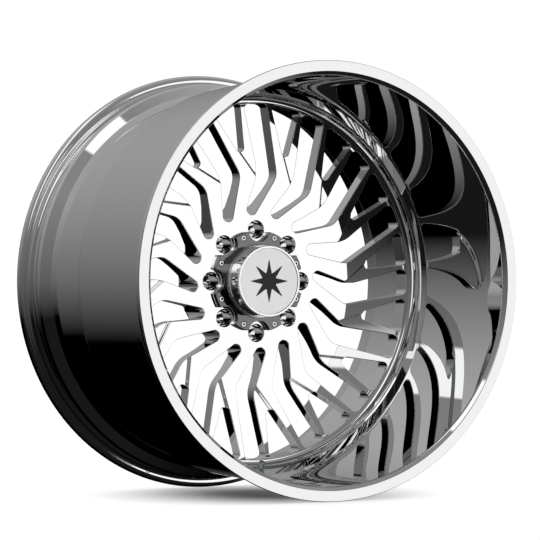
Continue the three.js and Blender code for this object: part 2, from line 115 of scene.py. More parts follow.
ROUND = 384                       # facets round the wheel
CAP_ROUND = 192
SMALL_ROUND = 48
ARC_DEGREES = 9.0                 # step along rounded corners
EDGE = 1.1                        # radius of the machined edges of the centre
PITCH = 3.0                       # longest run between points of a slot's outline


# ---- Outlines -------------------------------------------------------------------------------
def rounded(corners, pitch=0.0, closed=True, arc_degrees=ARC_DEGREES):
    """Counter-clockwise outline through (u, v, fillet) corners, as (u, v, normal u, normal v)."""
    points = []
    count = len(corners)
    for i, (u, v, fillet) in enumerate(corners):
        here = Vector((u, v))
        ahead = Vector(corners[(i + 1) % count][:2]) - here
        back = Vector(corners[i - 1][:2]) - here
        if not closed and i == 0:
            side = Vector((ahead.y, -ahead.x)).normalized()
            points.append((u, v, side.x, side.y))
            continue
        if not closed and i == count - 1:
            side = Vector((-back.y, back.x)).normalized()
            points.append((u, v, side.x, side.y))
            continue
        back.normalize()
        ahead.normalize()
        half = back.angle(ahead) / 2
        centre = here + (back + ahead).normalized() * (fillet / math.sin(half))
        start = here + back * (fillet / math.tan(half)) - centre
        convex = 1 if ahead.cross(back) > 0 else -1
        turn = math.pi - 2 * half
        steps = max(2, round(math.degrees(turn) / arc_degrees))
        for k in range(steps + 1):
            spoke = start.copy()
            spoke.rotate(Matrix.Rotation(convex * turn * k / steps, 2))
            normal = spoke.normalized() * convex
            points.append((*(centre + spoke), *normal))
    return subdivided(points, pitch, closed) if pitch else points


def subdivided(points, pitch, closed=True):
    """The same outline with its longer runs split, keeping the straight runs' normals."""
    result = []
    count = len(points)
    for i, point in enumerate(points):
        result.append(point)
        if i == count - 1 and not closed:
            break
        after = points[(i + 1) % count]
        pieces = math.ceil(math.dist(point[:2], after[:2]) / pitch)
        for k in range(1, pieces):
            t = k / pieces
            mixed = [a + (b - a) * t for a, b in zip(point, after)]
            length = math.hypot(mixed[2], mixed[3])
            result.append((mixed[0], mixed[1], mixed[2] / length, mixed[3] / length))
    return result


def circle_outline(radius, count, u=0.0, v=0.0):
    """Counter-clockwise circle with outward normals."""
    angles = [2 * math.pi * i / count for i in range(count)]
    return [(u + radius * math.sin(a), v + radius * math.cos(a), math.sin(a), math.cos(a))
            for a in reversed(angles)]


def turned_about(outline, degrees):
    """An outline of the wheel's face turned clockwise about the axis."""
    c, s = math.cos(math.radians(degrees)), math.sin(math.radians(degrees))
    return [(u * c + v * s, v * c - u * s, nu * c + nv * s, nv * c - nu * s)
            for u, v, nu, nv in outline]


# ---- Meshes with their own normals ----------------------------------------------------------
class Shell:
    """A closed mesh in millimetres whose vertices carry their own normals."""

    def __init__(self):
        self.points = []
        self.normals = []
        self.faces = []

    def row(self, places):
        """Adds (point, normal) pairs and returns their vertex numbers."""
        first = len(self.points)
        for point, normal in places:
            self.points.append(Vector(point))
            self.normals.append(Vector(normal).normalized())
        return list(range(first, len(self.points)))

    def strip(self, a, b, flip=False):
        """Quads between two closed rows, or triangles where one row is a single point."""
        count = max(len(a), len(b))
        for i in range(count):
            j = (i + 1) % count
            corners = (a[i % len(a)], a[j % len(a)], b[j % len(b)], b[i % len(b)])
            face = list(dict.fromkeys(corners))
            self.faces.append(face[::-1] if flip else face)

    def strips(self, rows, flip=False):
        for a, b in zip(rows, rows[1:]):
            self.strip(a, b, flip)

    def revolve(self, outline, count, closed=True):
        """Turns a counter-clockwise (radius, y) outline about the Y axis."""
        rows = []
        for r, y, nr, ny in outline:
            if r < 1e-6:
                rows.append(self.row([((0, y, 0), (0, ny, 0))]))
                continue
            turns = [2 * math.pi * i / count for i in range(count)]
            rows.append(self.row([
                ((r * math.sin(a), y, r * math.cos(a)), (nr * math.sin(a), ny, nr * math.cos(a)))
                for a in turns]))
        self.strips(rows)
        if closed:
            self.strip(rows[-1], rows[0])

    def fill(self, loops, loose, back=False):
        """Triangles between closed rows on one side of a plate; loops[0] is the outside."""
        ids = [i for loop in loops for i in loop] + loose
        flat = [Vector((self.points[i].x, self.points[i].z)) for i in ids]
        edges = []
        owner = {}
        first = 0
        for number, loop in enumerate(loops):
            for k in range(len(loop)):
                edges.append((first + k, first + (k + 1) % len(loop)))
                owner[first + k] = number
            first += len(loop)
        _, _, triangles, originals, _, _ = geometry.delaunay_2d_cdt(flat, edges, [], 0, 1e-6)
        outlines = [np.array([(self.points[i].x, self.points[i].z) for i in loop]) for loop in loops]
        for triangle in triangles:
            corners = [originals[i][0] for i in triangle]
            owners = {owner.get(c, -1) for c in corners}
            if len(owners) == 1 and owners != {-1}:
                middle = sum((flat[c] for c in corners), Vector((0, 0))) / 3
                number = owners.pop()
                if inside(outlines[number], middle) != (number == 0):
                    continue
            face = [ids[c] for c in corners]
            self.faces.append(face[::-1] if back else face)

    def mesh(self, name, matrix=None):
        matrix = matrix or Matrix()
        turn = matrix.to_3x3()
        data = bpy.data.meshes.new(name)
        data.from_pydata([(matrix @ p) * MM for p in self.points], [], self.faces)
        data.shade_smooth()
        data.normals_split_custom_set_from_vertices([turn @ n for n in self.normals])
        data.update()
        return data


def inside(polygon, point):
    """True if a 2-D point lies in a polygon."""
    x, z = point
    x1, z1 = polygon[:, 0], polygon[:, 1]
    x2, z2 = np.roll(x1, -1), np.roll(z1, -1)
    crosses = (z1 > z) != (z2 > z)
    with np.errstate(divide="ignore", invalid="ignore"):
        at = x1 + (z - z1) * (x2 - x1) / (z2 - z1)
    return bool(np.count_nonzero(crosses & (x < at)) % 2)


def piece(name, data, body, slot, material, *stands_for):
    """Puts a mesh in the scene on its body, in place of CAD nodes."""
    made = bpy.data.objects.new(name, data)
    bpy.context.scene.collection.objects.link(made)
    made.data.materials.append(material)
    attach(made, body)
    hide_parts(*stands_for)
    return made


# ---- Materials ------------------------------------------------------------------------------
class Nodes:
    """Short way to build a node tree."""

    def __init__(self, tree):
        self.tree = tree
        tree.nodes.clear()

    def add(self, kind, inputs=None, **settings):
        node = self.tree.nodes.new(kind)
        for key, value in settings.items():
            setattr(node, key, value)
        for key, value in (inputs or {}).items():
            if isinstance(value, bpy.types.NodeSocket):
                self.tree.links.new(value, node.inputs[key])
            else:
                node.inputs[key].default_value = value
        return node

    def math(self, operation, *values):
        node = self.add("ShaderNodeMath", dict(enumerate(values)), operation=operation)
        return node.outputs[0]

    def ramp(self, value, stops, interpolation="LINEAR"):
        """Colour ramp; stops are (position, grey) pairs."""
        node = self.add("ShaderNodeValToRGB", {0: value})
        ramp = node.color_ramp
        ramp.interpolation = interpolation
        ramp.elements[0].position, ramp.elements[1].position = stops[0][0], stops[-1][0]
        ramp.elements[0].color = (*[stops[0][1]] * 3, 1)
        ramp.elements[1].color = (*[stops[-1][1]] * 3, 1)
        for position, grey in stops[1:-1]:
            ramp.elements.new(position).color = (grey, grey, grey, 1)
        return node.outputs[0]


def wheel_radius(nodes, position):
    """Distance from the wheel's axis, in metres."""
    flat = nodes.add("ShaderNodeVectorMath", {0: position, 1: (1, 0, 1)}, operation="MULTIPLY")
    return nodes.add("ShaderNodeVectorMath", {0: flat.outputs[0]}, operation="LENGTH").outputs["Value"]


def metal(name, colour, roughness, marks=0.0, tint=None, painted_shade=None, relief=0.000004):
    """Polished or turned metal: soft smudges, faint grain and, with marks, fine turning rings.

    painted_shade is (y start, y end, share): painted shade, from start to end along the wheel's
    axis, in metres, darkens the metal to that share of its brightness for the camera, though not in
    reflections. relief is the height of the grain and rings.
    """
    material = bpy.data.materials.new(name)
    material.use_nodes = True
    nodes = Nodes(material.node_tree)
    position = nodes.add("ShaderNodeTexCoord").outputs["Object"]
    smudge = nodes.add("ShaderNodeTexNoise", {"Vector": position, "Scale": 9.0, "Detail": 4.0})
    grain = nodes.add("ShaderNodeTexNoise", {"Vector": position, "Scale": 900.0, "Detail": 2.0})
    rough = nodes.math("MULTIPLY_ADD", smudge.outputs[0], roughness * 0.9, roughness * 0.5)
    height = nodes.math("MULTIPLY", grain.outputs[0], 0.35)
    if marks:
        radius = wheel_radius(nodes, position)
        along = nodes.add("ShaderNodeSeparateXYZ", {0: position}).outputs[1]
        rings = nodes.add("ShaderNodeCombineXYZ", {0: radius, 1: along})
        turning = nodes.add("ShaderNodeTexNoise", {"Vector": rings.outputs[0], "Scale": 2600.0})
        height = nodes.math("MULTIPLY_ADD", turning.outputs[0], marks, height)
    bump = nodes.add("ShaderNodeBump", {"Height": height, "Distance": relief, "Strength": 0.6})
    shade = nodes.add("ShaderNodeMix", {0: smudge.outputs[0], 6: (*colour, 1),
                                        7: (*(tint or [c * 0.97 for c in colour]), 1)},
                      data_type="RGBA")
    tone = shade.outputs[2]
    # Painted shade: the metal darkens between two heights along the axis, for camera rays only, so its
    # reflections stay bright.
    if painted_shade:
        start, end, factor = painted_shade
        along = nodes.add("ShaderNodeSeparateXYZ", {0: position}).outputs[1]
        depth = nodes.add("ShaderNodeMapRange", {0: along, 1: start, 2: end, 3: 0.0, 4: factor - 1})
        seen = nodes.add("ShaderNodeLightPath").outputs["Is Camera Ray"]
        scale = nodes.math("MULTIPLY_ADD", depth.outputs[0], seen, 1.0)
        tone = nodes.add("ShaderNodeVectorMath", {0: tone, "Scale": scale},
                         operation="SCALE").outputs[0]
    surface = nodes.add("ShaderNodeBsdfPrincipled", {
        "Base Color": tone, "Metallic": 1.0, "Roughness": rough,
        "Normal": bump.outputs[0]})
    nodes.add("ShaderNodeOutputMaterial", {0: surface.outputs[0]})
    return material


def coating(name, colour, roughness, grain_scale, grain_depth, coat=0.0):
    """Rubber or enamel with a fine surface grain and a slight change of tone."""
    material = bpy.data.materials.new(name)
    material.use_nodes = True
    nodes = Nodes(material.node_tree)
    position = nodes.add("ShaderNodeTexCoord").outputs["Object"]
    tone = nodes.add("ShaderNodeTexNoise", {"Vector": position, "Scale": 40.0, "Detail": 3.0})
    grain = nodes.add("ShaderNodeTexNoise", {"Vector": position, "Scale": grain_scale, "Detail": 3.0})
    bump = nodes.add("ShaderNodeBump", {"Height": grain.outputs[0], "Distance": grain_depth})
    shade = nodes.add("ShaderNodeMix", {0: tone.outputs[0], 6: (*colour, 1),
                                        7: (*[c * 0.9 for c in colour], 1)}, data_type="RGBA")
    surface = nodes.add("ShaderNodeBsdfPrincipled", {
        "Base Color": shade.outputs[2], "Normal": bump.outputs[0], "Coat Weight": coat,
        "Roughness": nodes.math("MULTIPLY_ADD", tone.outputs[0], 0.12, roughness)})
    nodes.add("ShaderNodeOutputMaterial", {0: surface.outputs[0]})
    return material


# The flange's front face gets painted shade here, seen by the camera only.
POLISHED = metal("polished_alloy", (0.90, 0.905, 0.91), 0.012, marks=0.1, relief=0.0000006,
                 painted_shade=((0.5 - HALF_WIDTH) * MM, (0.1 - HALF_WIDTH) * MM, FRONT_BAND_PAINTED_SHADE))
# Painted shade: the cap's body darkens towards its flange, and the flange and spigot behind it darken
# fully, seen by the camera only.
CAP_METAL = metal("cap_alloy", (0.90, 0.905, 0.91), 0.05, marks=0.35,
                  painted_shade=((CAP_FLANGE_Y - 7) * MM, (CAP_FLANGE_Y - 1) * MM, CAP_FLANGE_PAINTED_SHADE))
CHROME = metal("bright_steel", (0.80, 0.81, 0.82), 0.09, marks=0.2)
VALVE_METAL = metal("valve_steel", (0.40, 0.41, 0.42), 0.05, marks=0.2, relief=0.000001)
BRASS = metal("turned_brass", (0.72, 0.52, 0.25), 0.22, marks=0.8, tint=(0.62, 0.42, 0.18))
SPRING = metal("spring_wire", (0.5, 0.51, 0.53), 0.28)
RUBBER = coating("black_rubber", (0.02, 0.02, 0.021), 0.62, 1500.0, 0.00004)
PALE = coating("pale_enamel", (0.93, 0.93, 0.925), 0.4, 500.0, 0.000006)
DARK = coating("dark_enamel", (0.012, 0.012, 0.014), 0.45, 500.0, 0.000004)


# ---- Barrel ---------------------------------------------------------------------------------
def flange_side(sign):
    """Bead side of the barrel from its inner hump to the outer face of the flange."""
    seat = BEAD_SEAT_RADIUS
    return [
        (seat - 1.4, sign * 166, 3),
        (seat + 1.2, sign * 172, 4),
        (seat - 0.6, sign * 180, 4),
        (seat + 1.2, sign * INNER_HALF_WIDTH, 6),
        (FLANGE_RADIUS, sign * INNER_HALF_WIDTH, FLANGE_CURL),
        (FLANGE_RADIUS, sign * HALF_WIDTH, 1.2),
    ]


def barrel_corners():
    """Counter-clockwise (radius, y, fillet) section: outside to the rear, then back inside."""
    outside = [
        *flange_side(-1)[::-1],
        (322.4, 36, 5),
        (321.0, 40, 3),
        (313.2, 60, 6),
        (313.6, 152, 5),
        *flange_side(1),
    ]
    inside_rear = [
        (333.6, HALF_WIDTH, 2),
        (325.4, 208, 5),
        (321.5, 168, 12),
        (306.8, 153, 8),
        (BARREL_BORE_RADIUS, 146, 4),
        (BARREL_BORE_RADIUS, FACE_Y - 15.2, 1.1),
        (308.2, FACE_Y - 17.4, 1.1),
    ]
    lip = [
        (315.5, 3, 2.2),
        (324, 5 - HALF_WIDTH, 4.5),
        (330.2, -HALF_WIDTH, 2.6),
    ]
    return outside + inside_rear + lip


def valve_matrix():
    """Frame of the valve: +Z runs from its spot face out into the open lip."""
    foot, step = Vector((315.5, 3)), Vector((307.7, 16))
    along = step - foot
    normal = Vector((-along.y, along.x)).normalized()
    seat = foot.lerp(step, 0.5) - normal
    a = math.radians(VALVE_ANGLE)
    outward = Vector((math.sin(a), 0, math.cos(a)))
    axis = outward * normal.x + Vector((0, normal.y, 0))
    place = outward * seat.x + Vector((0, seat.y, 0))
    turn = Vector((0, 0, 1)).rotation_difference(axis).to_matrix().to_4x4()
    return Matrix.Translation(place) @ turn


def valve_turned(corners, count=SMALL_ROUND):
    """Solid turned about the valve's axis from counter-clockwise (radius, height, fillet) corners."""
    closed = corners[0][0] > 0
    shell = Shell()
    shell.revolve(rounded(corners, closed=closed, arc_degrees=20), count, closed)
    return shell, valve_matrix() @ Matrix.Rotation(math.pi / 2, 4, "X")


def nearest_normal(outline, r, y):
    """(distance, normal) of the outline's nearest run to a (radius, y) point."""
    a = outline[:, :2]
    b = np.roll(a, -1, axis=0)
    run = b - a
    t = np.clip(((np.array((r, y)) - a) * run).sum(1) / (run ** 2).sum(1), 0, 1)
    gap = np.linalg.norm(a + run * t[:, None] - (r, y), axis=1)
    k = int(gap.argmin())
    normal = outline[k, 2:] * (1 - t[k]) + np.roll(outline, -1, axis=0)[k, 2:] * t[k]
    return gap[k], normal


def build_barrel():
    outline = rounded(barrel_corners())
    shell = Shell()
    shell.revolve(outline, ROUND)
    made = piece("barrel", shell.mesh("barrel"), "wheel", "polished_alloy", POLISHED, "rim_barrel")
    cut_valve_hole(made, np.array(outline))


def cut_valve_hole(made, outline):
    """Cuts the valve's hole and its two spot faces, then restores the turned normals."""
    cutter_shell, matrix = valve_turned([
        (0, -34, 0), (9.6, -34, 0.3), (9.6, -11.5, 0.2), (5.7, -11.5, 0.2), (5.7, 0, 0.2),
        (9.6, 0, 0.2), (9.6, 12, 0.3), (0, 12, 0)])
    cutter = bpy.data.objects.new("valve_cutter", cutter_shell.mesh("valve_cutter", matrix))
    bpy.context.scene.collection.objects.link(cutter)
    cut = made.modifiers.new("valve_hole", "BOOLEAN")
    cut.operation, cut.solver, cut.object = "DIFFERENCE", "EXACT", cutter
    bpy.context.view_layer.update()
    evaluated = made.evaluated_get(bpy.context.evaluated_depsgraph_get())
    data = bpy.data.meshes.new_from_object(evaluated)
    made.modifiers.clear()
    made.data = data
    bpy.data.objects.remove(cutter)
    own = []
    for vertex in data.vertices:
        x, y, z = vertex.co / MM
        r = math.hypot(x, z)
        gap, (nr, ny) = nearest_normal(outline, r, y)
        own.append((gap < 0.02, Vector((nr * x / r, ny, nr * z / r)).normalized()))
    normals = []
    for polygon in data.polygons:
        turned = all(own[i][0] for i in polygon.vertices)
        normals += [own[i][1] if turned else polygon.normal.copy() for i in polygon.vertices]
    data.normals_split_custom_set(normals)


# ---- Centre ---------------------------------------------------------------------------------
def slot_outlines():
    """The two windows of one spoke unit, counter-clockwise."""
    long = [(-21.9, 292.5, 9), (4.8, 184, 45), (-18.6, 115.3, 8.2), (-10, 108.8, 4.5),
            (-2.2, 109.9, 7.5), (39.5, 172.8, 26), (20.2, 292.6, 9)]
    short = [(28.2, 291.9, 7), (50.6, 207, 6.2), (63.2, 206, 6.2), (85.6, 280.3, 7)]
    return rounded(long, PITCH), rounded(short, PITCH)


POCKET_EDGE = (Vector((50.7, 208.0)), Vector((65.0, 160.0)))
POCKET_AREA = np.array([
    (45.0, 212.0), (60.0, 158.0), (74.0, 150.0), (110.0, 190.0),
    (115.0, 272.0), (85.5, 281.0), (65.8, 285.0), (58.0, 212.0)])


def smooth(t):
    t = min(1.0, max(0.0, t))
    return t * t * (3 - 2 * t)


def front_height(x, z):
    """y of the spokes' front surface: the flat face, with each side branch set back."""
    radius = math.hypot(x, z)
    angle = math.degrees(math.atan2(x, z))
    edge, end = POCKET_EDGE
    along = (end - edge).normalized()
    for k in (math.floor((angle - 15) / UNIT), math.floor((angle - 15) / UNIT) + 1):
        u, v = turned_about([(x, z, 0, 0)], -k * UNIT)[0][:2]
        if not inside(POCKET_AREA, (u, v)):
            continue
        beyond = along.cross(Vector((u, v)) - edge)
        ramp = smooth(beyond / POCKET_RAMP) * smooth((POCKET_OUTER_RADIUS - radius) / POCKET_RAMP)
        return FACE_Y + POCKET_DEPTH * ramp
    return FACE_Y


BACK_PROFILE = [(PAD_RADIUS, PAD_Y), (PAD_RADIUS + 2.5, PAD_Y - 14), (128, SPOKE_BACK_Y + 10),
                (150, SPOKE_BACK_Y + 2), (165, SPOKE_BACK_Y), (288.3, SPOKE_BACK_Y),
                (297.3, RING_BACK_Y)]


def back_height(x, z):
    """y of the centre's back: hub pad, boss, spokes and the thicker outer ring."""
    return float(np.interp(math.hypot(x, z), *zip(*BACK_PROFILE)))


def surface_normal(height, x, z, sign):
    """Unit normal of a height surface, towards -Y for sign -1 and +Y for sign 1."""
    step = 0.2
    slope_x = (height(x + step, z) - height(x - step, z)) / (2 * step)
    slope_z = (height(x, z + step) - height(x, z - step)) / (2 * step)
    return Vector((-sign * slope_x, sign, -sign * slope_z)).normalized()


def edge_rows(shell, outline, height, edge, sign, steps=4):
    """Quarter-round edge of a hole, from the flat surface down to the hole's wall."""
    rows = []
    bases = []
    for u, v, nu, nv in outline:
        x, z = u + nu * edge, v + nv * edge
        bases.append((height(x, z), surface_normal(height, x, z, sign)))
    for k in range(steps + 1):
        a = math.pi / 2 * k / steps
        out = edge * (1 - math.sin(a))
        drop = edge * (1 - math.cos(a))
        places = []
        for (u, v, nu, nv), (y, normal) in zip(outline, bases):
            wall = Vector((-nu, 0, -nv))
            places.append(((u + nu * out, y - sign * drop, v + nv * out),
                           normal * math.cos(a) + wall * math.sin(a)))
        rows.append(shell.row(places))
    return rows


def through_hole(shell, front, back, front_surface, back_surface, edge, middle=()):
    """Walls of a hole: front edge, rows of (outline, y, slope) and back edge, for both fills."""
    front_rows = edge_rows(shell, front, front_surface, edge, -1)
    back_rows = edge_rows(shell, back, back_surface, edge, 1)
    inner = []
    for outline, y, lean in middle:
        level, fall = math.cos(lean), math.sin(lean)
        inner.append(shell.row([((u, y, v), (-nu * level, -fall, -nv * level))
                                for u, v, nu, nv in outline]))
    shell.strips(front_rows + inner + back_rows[::-1])
    return front_rows[0], back_rows[0]


def loose_points(shell, places, height, sign, outlines, clear):
    """Extra surface points that keep clear of every outline and of the holes inside them."""
    borders = np.array([p[:2] for outline in outlines for p in outline])
    polygons = [np.array([p[:2] for p in outline]) for outline in outlines]
    kept = []
    for x, z in places:
        if np.min(np.hypot(borders[:, 0] - x, borders[:, 1] - z)) < clear:
            continue
        if any(inside(polygon, (x, z)) for polygon in polygons):
            continue
        kept.append(((x, height(x, z), z), surface_normal(height, x, z, sign)))
    return shell.row(kept)


def ring_places(radii, pitch):
    places = []
    for radius in radii:
        count = round(2 * math.pi * radius / pitch)
        for i in range(count):
            a = 2 * math.pi * (i + 0.5) / count
            places.append((radius * math.sin(a), radius * math.cos(a)))
    return places


def pocket_places():
    """Points along the slopes of every side branch."""
    edge, end = POCKET_EDGE
    along = (end - edge).normalized()
    across = Vector((-along.y, along.x))
    places = []
    for share in np.linspace(-0.06, 1.06, 6):
        for t in np.arange(-2.0, (end - edge).length + 6, 2.2):
            p = edge + along * t + across * (share * POCKET_RAMP)
            places.append((p.x, p.y))
        radius = POCKET_OUTER_RADIUS - share * POCKET_RAMP
        for degrees in np.arange(15.4, 19.8, 0.4):
            a = math.radians(degrees)
            places.append((radius * math.sin(a), radius * math.cos(a)))
    return [turned_about([(x, z, 0, 0)], i * UNIT)[0][:2]
            for i in range(SPOKE_UNITS) for x, z in places]


def build_centre():
    shell = Shell()
    slots = [turned_about(outline, i * UNIT)
             for outline in slot_outlines() for i in range(SPOKE_UNITS)]
    front_loops, back_loops, back_outlines = [], [], list(slots)
    for outline in slots:
        front, back = through_hole(shell, outline, outline, front_height, back_height, EDGE)
        front_loops.append(front)
        back_loops.append(back)
    lug_outlines = []
    for i in range(LUGS):
        a = 2 * math.pi * i / LUGS
        place = (LUG_CIRCLE_RADIUS * math.sin(a), LUG_CIRCLE_RADIUS * math.cos(a))
        wide = circle_outline(LUG_POCKET_RADIUS, SMALL_ROUND, *place)
        narrow = circle_outline(LUG_HOLE_RADIUS, SMALL_ROUND, *place)
        lug_outlines.append(wide)
        back_outlines.append(narrow)
        lean = math.atan2(LUG_POCKET_RADIUS - LUG_HOLE_RADIUS, 12)
        front, back = through_hole(shell, wide, narrow, front_height, back_height, 0.9, [
            (wide, LUG_SEAT_Y - 0.3, 0),
            (circle_outline(LUG_POCKET_RADIUS - 0.2, SMALL_ROUND, *place), LUG_SEAT_Y, lean),
            (circle_outline(LUG_HOLE_RADIUS + 0.2, SMALL_ROUND, *place), LUG_SEAT_Y + 11.8, lean),
            (narrow, LUG_SEAT_Y + 12.3, 0)])
        front_loops.append(front)
        back_loops.append(back)
    tapped_outlines = []
    for i in range(LUGS):
        a = 2 * math.pi * (i + 0.5) / LUGS
        place = (SCREW_CIRCLE * math.sin(a), SCREW_CIRCLE * math.cos(a))
        outline = circle_outline(2.8, 16, *place)
        tapped_outlines.append(outline)
        rows = edge_rows(shell, outline, front_height, 0.4, -1, 2)
        front_loops.append(rows[0])
        floor = FACE_Y + 15
        rows.append(shell.row([((u, floor, v), (-nu, -1, -nv)) for u, v, nu, nv in outline]))
        rows.append(shell.row([((place[0], floor + 1.2, place[1]), (0, -1, 0))]))
        shell.strips(rows)
    bore = circle_outline(HUB_BORE_RADIUS, CAP_ROUND)
    bore_front, bore_back = through_hole(shell, bore, bore, front_height, back_height, 1.0)
    rim_rows = []
    for r, y, nr, ny in rim_section():
        outline = circle_outline(r, ROUND)
        rim_rows.append(shell.row([((u, y, v), (nu * nr, ny, nv * nr)) for u, v, nu, nv in outline]))
    shell.strips(rim_rows, flip=True)
    holes = slots + lug_outlines + tapped_outlines + [bore]
    front_loose = loose_points(shell, pocket_places(), front_height, -1, holes, 2.2)
    shell.fill([rim_rows[0], *front_loops, bore_front], front_loose)
    radii = [PAD_RADIUS - 0.3, PAD_RADIUS + 0.3, PAD_RADIUS + 2.2, PAD_RADIUS + 2.9, 113, 119, 127,
             129, 139, 149, 151, 164, 166, 200, 240, 287.6, 289, 293]
    back_loose = loose_points(shell, ring_places(radii, 6), back_height, 1, back_outlines + [bore], 2.2)
    shell.fill([rim_rows[-1], *back_loops, bore_back], back_loose, back=True)
    piece("centre", shell.mesh("centre"), "wheel", "polished_alloy", POLISHED, "forged_centre")


def rim_section():
    """(radius, y, normal) of the centre's rim: hollow fillet, crest, fit and back edge."""
    reach = CENTRE_RADIUS - FACE_RADIUS
    section = []
    for k in range(13):
        a = math.pi / 2 * k / 12
        section.append((FACE_RADIUS + reach * math.sin(a), FACE_Y - RING_FILLET * (1 - math.cos(a)),
                        -RING_FILLET * math.sin(a), -reach * math.cos(a)))
    section = [(r, y, nr / math.hypot(nr, ny), ny / math.hypot(nr, ny)) for r, y, nr, ny in section]
    section[-1] = (CENTRE_RADIUS - 0.25, RING_FRONT_Y, -0.7, -0.7)
    section.append((CENTRE_RADIUS, RING_FRONT_Y + 0.4, 1, 0))
    section.append((CENTRE_RADIUS, RING_BACK_Y - 1, 1, 0))
    section.append((CENTRE_RADIUS - 0.3, RING_BACK_Y - 0.3, 0.7, 0.7))
    section.append((CENTRE_RADIUS - 1, RING_BACK_Y, 0, 1))
    return section


# ---- Centre cap -----------------------------------------------------------------------------
def flipped(outline):
    """The same outline as the border of a plate instead of a hole."""
    return [(u, v, -nu, -nv) for u, v, nu, nv in reversed(outline)]


def arc_points(centre, radius, start, end, sign):
    """Clockwise-angle arc as outline points; sign -1 turns the normals to its centre."""
    steps = max(2, round(abs(end - start) / ARC_DEGREES * 2))
    points = []
    for k in range(steps + 1):
        a = math.radians(start + (end - start) * k / steps)
        points.append((centre[0] + radius * math.sin(a), centre[1] + radius * math.cos(a),
                       sign * math.sin(a), sign * math.cos(a)))
    return points


def flange_outline(fillet=2.0):
    """Scalloped outline of the cap's flange, counter-clockwise."""
    outer, reach = CAP_FLANGE_RADIUS - fillet, SCALLOP_RADIUS + fillet
    cosine = (outer ** 2 + LUG_CIRCLE_RADIUS ** 2 - reach ** 2) / (2 * outer * LUG_CIRCLE_RADIUS)
    corner = math.degrees(math.acos(cosine))
    c, s = math.cos(math.radians(corner)), math.sin(math.radians(corner))
    heading = math.degrees(math.atan2(outer * s, outer * c - LUG_CIRCLE_RADIUS))
    step = 360 / LUGS
    lobe = [
        *arc_points((0, LUG_CIRCLE_RADIUS), SCALLOP_RADIUS, 180, heading, -1),
        *arc_points((outer * s, outer * c), fillet, heading - 180, corner, 1)[1:],
        *arc_points((0, 0), CAP_FLANGE_RADIUS, corner, step - corner, 1)[1:],
    ]
    mirror = turned_about([(-u, v, -nu, nv) for u, v, nu, nv in reversed(lobe)], step)
    start = len(arc_points((0, 0), CAP_FLANGE_RADIUS, corner, step - corner, 1)) - 1
    lobe += mirror[start + 1:-1]
    points = [p for i in range(LUGS) for p in turned_about(lobe, i * step)]
    return points[::-1]


def flat(y):
    """Height surface of a flat plate."""
    return lambda x, z: y


def around(count, radius):
    """(u, v) of evenly spaced places on a circle, half-way between the lugs."""
    angles = [2 * math.pi * (i + 0.5) / count for i in range(count)]
    return [(radius * math.sin(a), radius * math.cos(a)) for a in angles]


def ring_rows(shell, section, count):
    """Closed rows about the wheel's axis through (r, y, normal r, normal y) points."""
    rows = []
    for r, y, nr, ny in section:
        outline = circle_outline(r, count)
        rows.append(shell.row([((u, y, v), (nu * nr, ny, nv * nr)) for u, v, nu, nv in outline]))
    return rows


def build_cap_base():
    shell = Shell()
    front, back = flat(CAP_FLANGE_Y), flat(CAP_BACK_Y)
    border = flipped(flange_outline())
    border_front, border_back = through_hole(shell, border, border, front, back, 0.8)
    section = rounded([
        (CAP_BODY_RADIUS + 4.5, CAP_FLANGE_Y, 0),
        (CAP_BODY_RADIUS + 2, CAP_FLANGE_Y, 0.8),
        (CAP_BODY_RADIUS + 2, CAP_FLANGE_Y - 4, 0.6),
        (CAP_BODY_RADIUS, CAP_FLANGE_Y - 4, 0.8),
        (CAP_BODY_RADIUS, CAP_TOP_Y + 3, 0.5),
        (CAP_INNER_RADIUS, CAP_TOP_Y + 3, 0.5),
        (CAP_INNER_RADIUS, CAP_SPIGOT_Y, 0.8),
        (CAP_SPIGOT_RADIUS, CAP_SPIGOT_Y, 1.0),
        (CAP_SPIGOT_RADIUS, CAP_SPIGOT_Y - 4.6, 0.3),
        (CAP_SPIGOT_RADIUS - 2.4, CAP_SPIGOT_Y - 4.6, 0.4),
        (CAP_SPIGOT_RADIUS - 2.4, CAP_SPIGOT_Y - 7.6, 0.4),
        (CAP_SPIGOT_RADIUS, CAP_SPIGOT_Y - 7.6, 0.3),
        (CAP_SPIGOT_RADIUS, CAP_BACK_Y, 0.3),
        (CAP_SPIGOT_RADIUS + 1.4, CAP_BACK_Y, 0)], closed=False, arc_degrees=18)
    section = [(r, y, -nr, -ny) for r, y, nr, ny in section]
    rows = ring_rows(shell, section, CAP_ROUND)
    shell.strips(rows)
    loops_front, loops_back = [], []
    for place in around(LUGS, SCREW_CIRCLE):
        wide = circle_outline(5.2, SMALL_ROUND, *place)
        narrow = circle_outline(2.8, SMALL_ROUND, *place)
        loops = through_hole(shell, wide, narrow, front, back, 0.35, [
            (wide, CAP_FLANGE_Y + 3.8, 0),
            (circle_outline(5.0, SMALL_ROUND, *place), CAP_FLANGE_Y + 4, math.pi / 2),
            (circle_outline(3.0, SMALL_ROUND, *place), CAP_FLANGE_Y + 4, math.pi / 2),
            (narrow, CAP_FLANGE_Y + 4.2, 0)])
        loops_front.append(loops[0])
        loops_back.append(loops[1])
    shell.fill([border_front, rows[0], *loops_front], [])
    shell.fill([border_back, rows[-1], *loops_back], [], back=True)
    piece("cap_body", shell.mesh("cap_body"), "cap", "cap_alloy", CAP_METAL, "cap_base")


def build_turned(name, corners, body, slot, material, node, count=CAP_ROUND):
    """Piece turned about the wheel's axis from (radius, y, fillet) corners."""
    closed = corners[0][0] > 0
    shell = Shell()
    shell.revolve(rounded(corners, closed=closed, arc_degrees=15), count, closed)
    return piece(name, shell.mesh(name), body, slot, material, node)


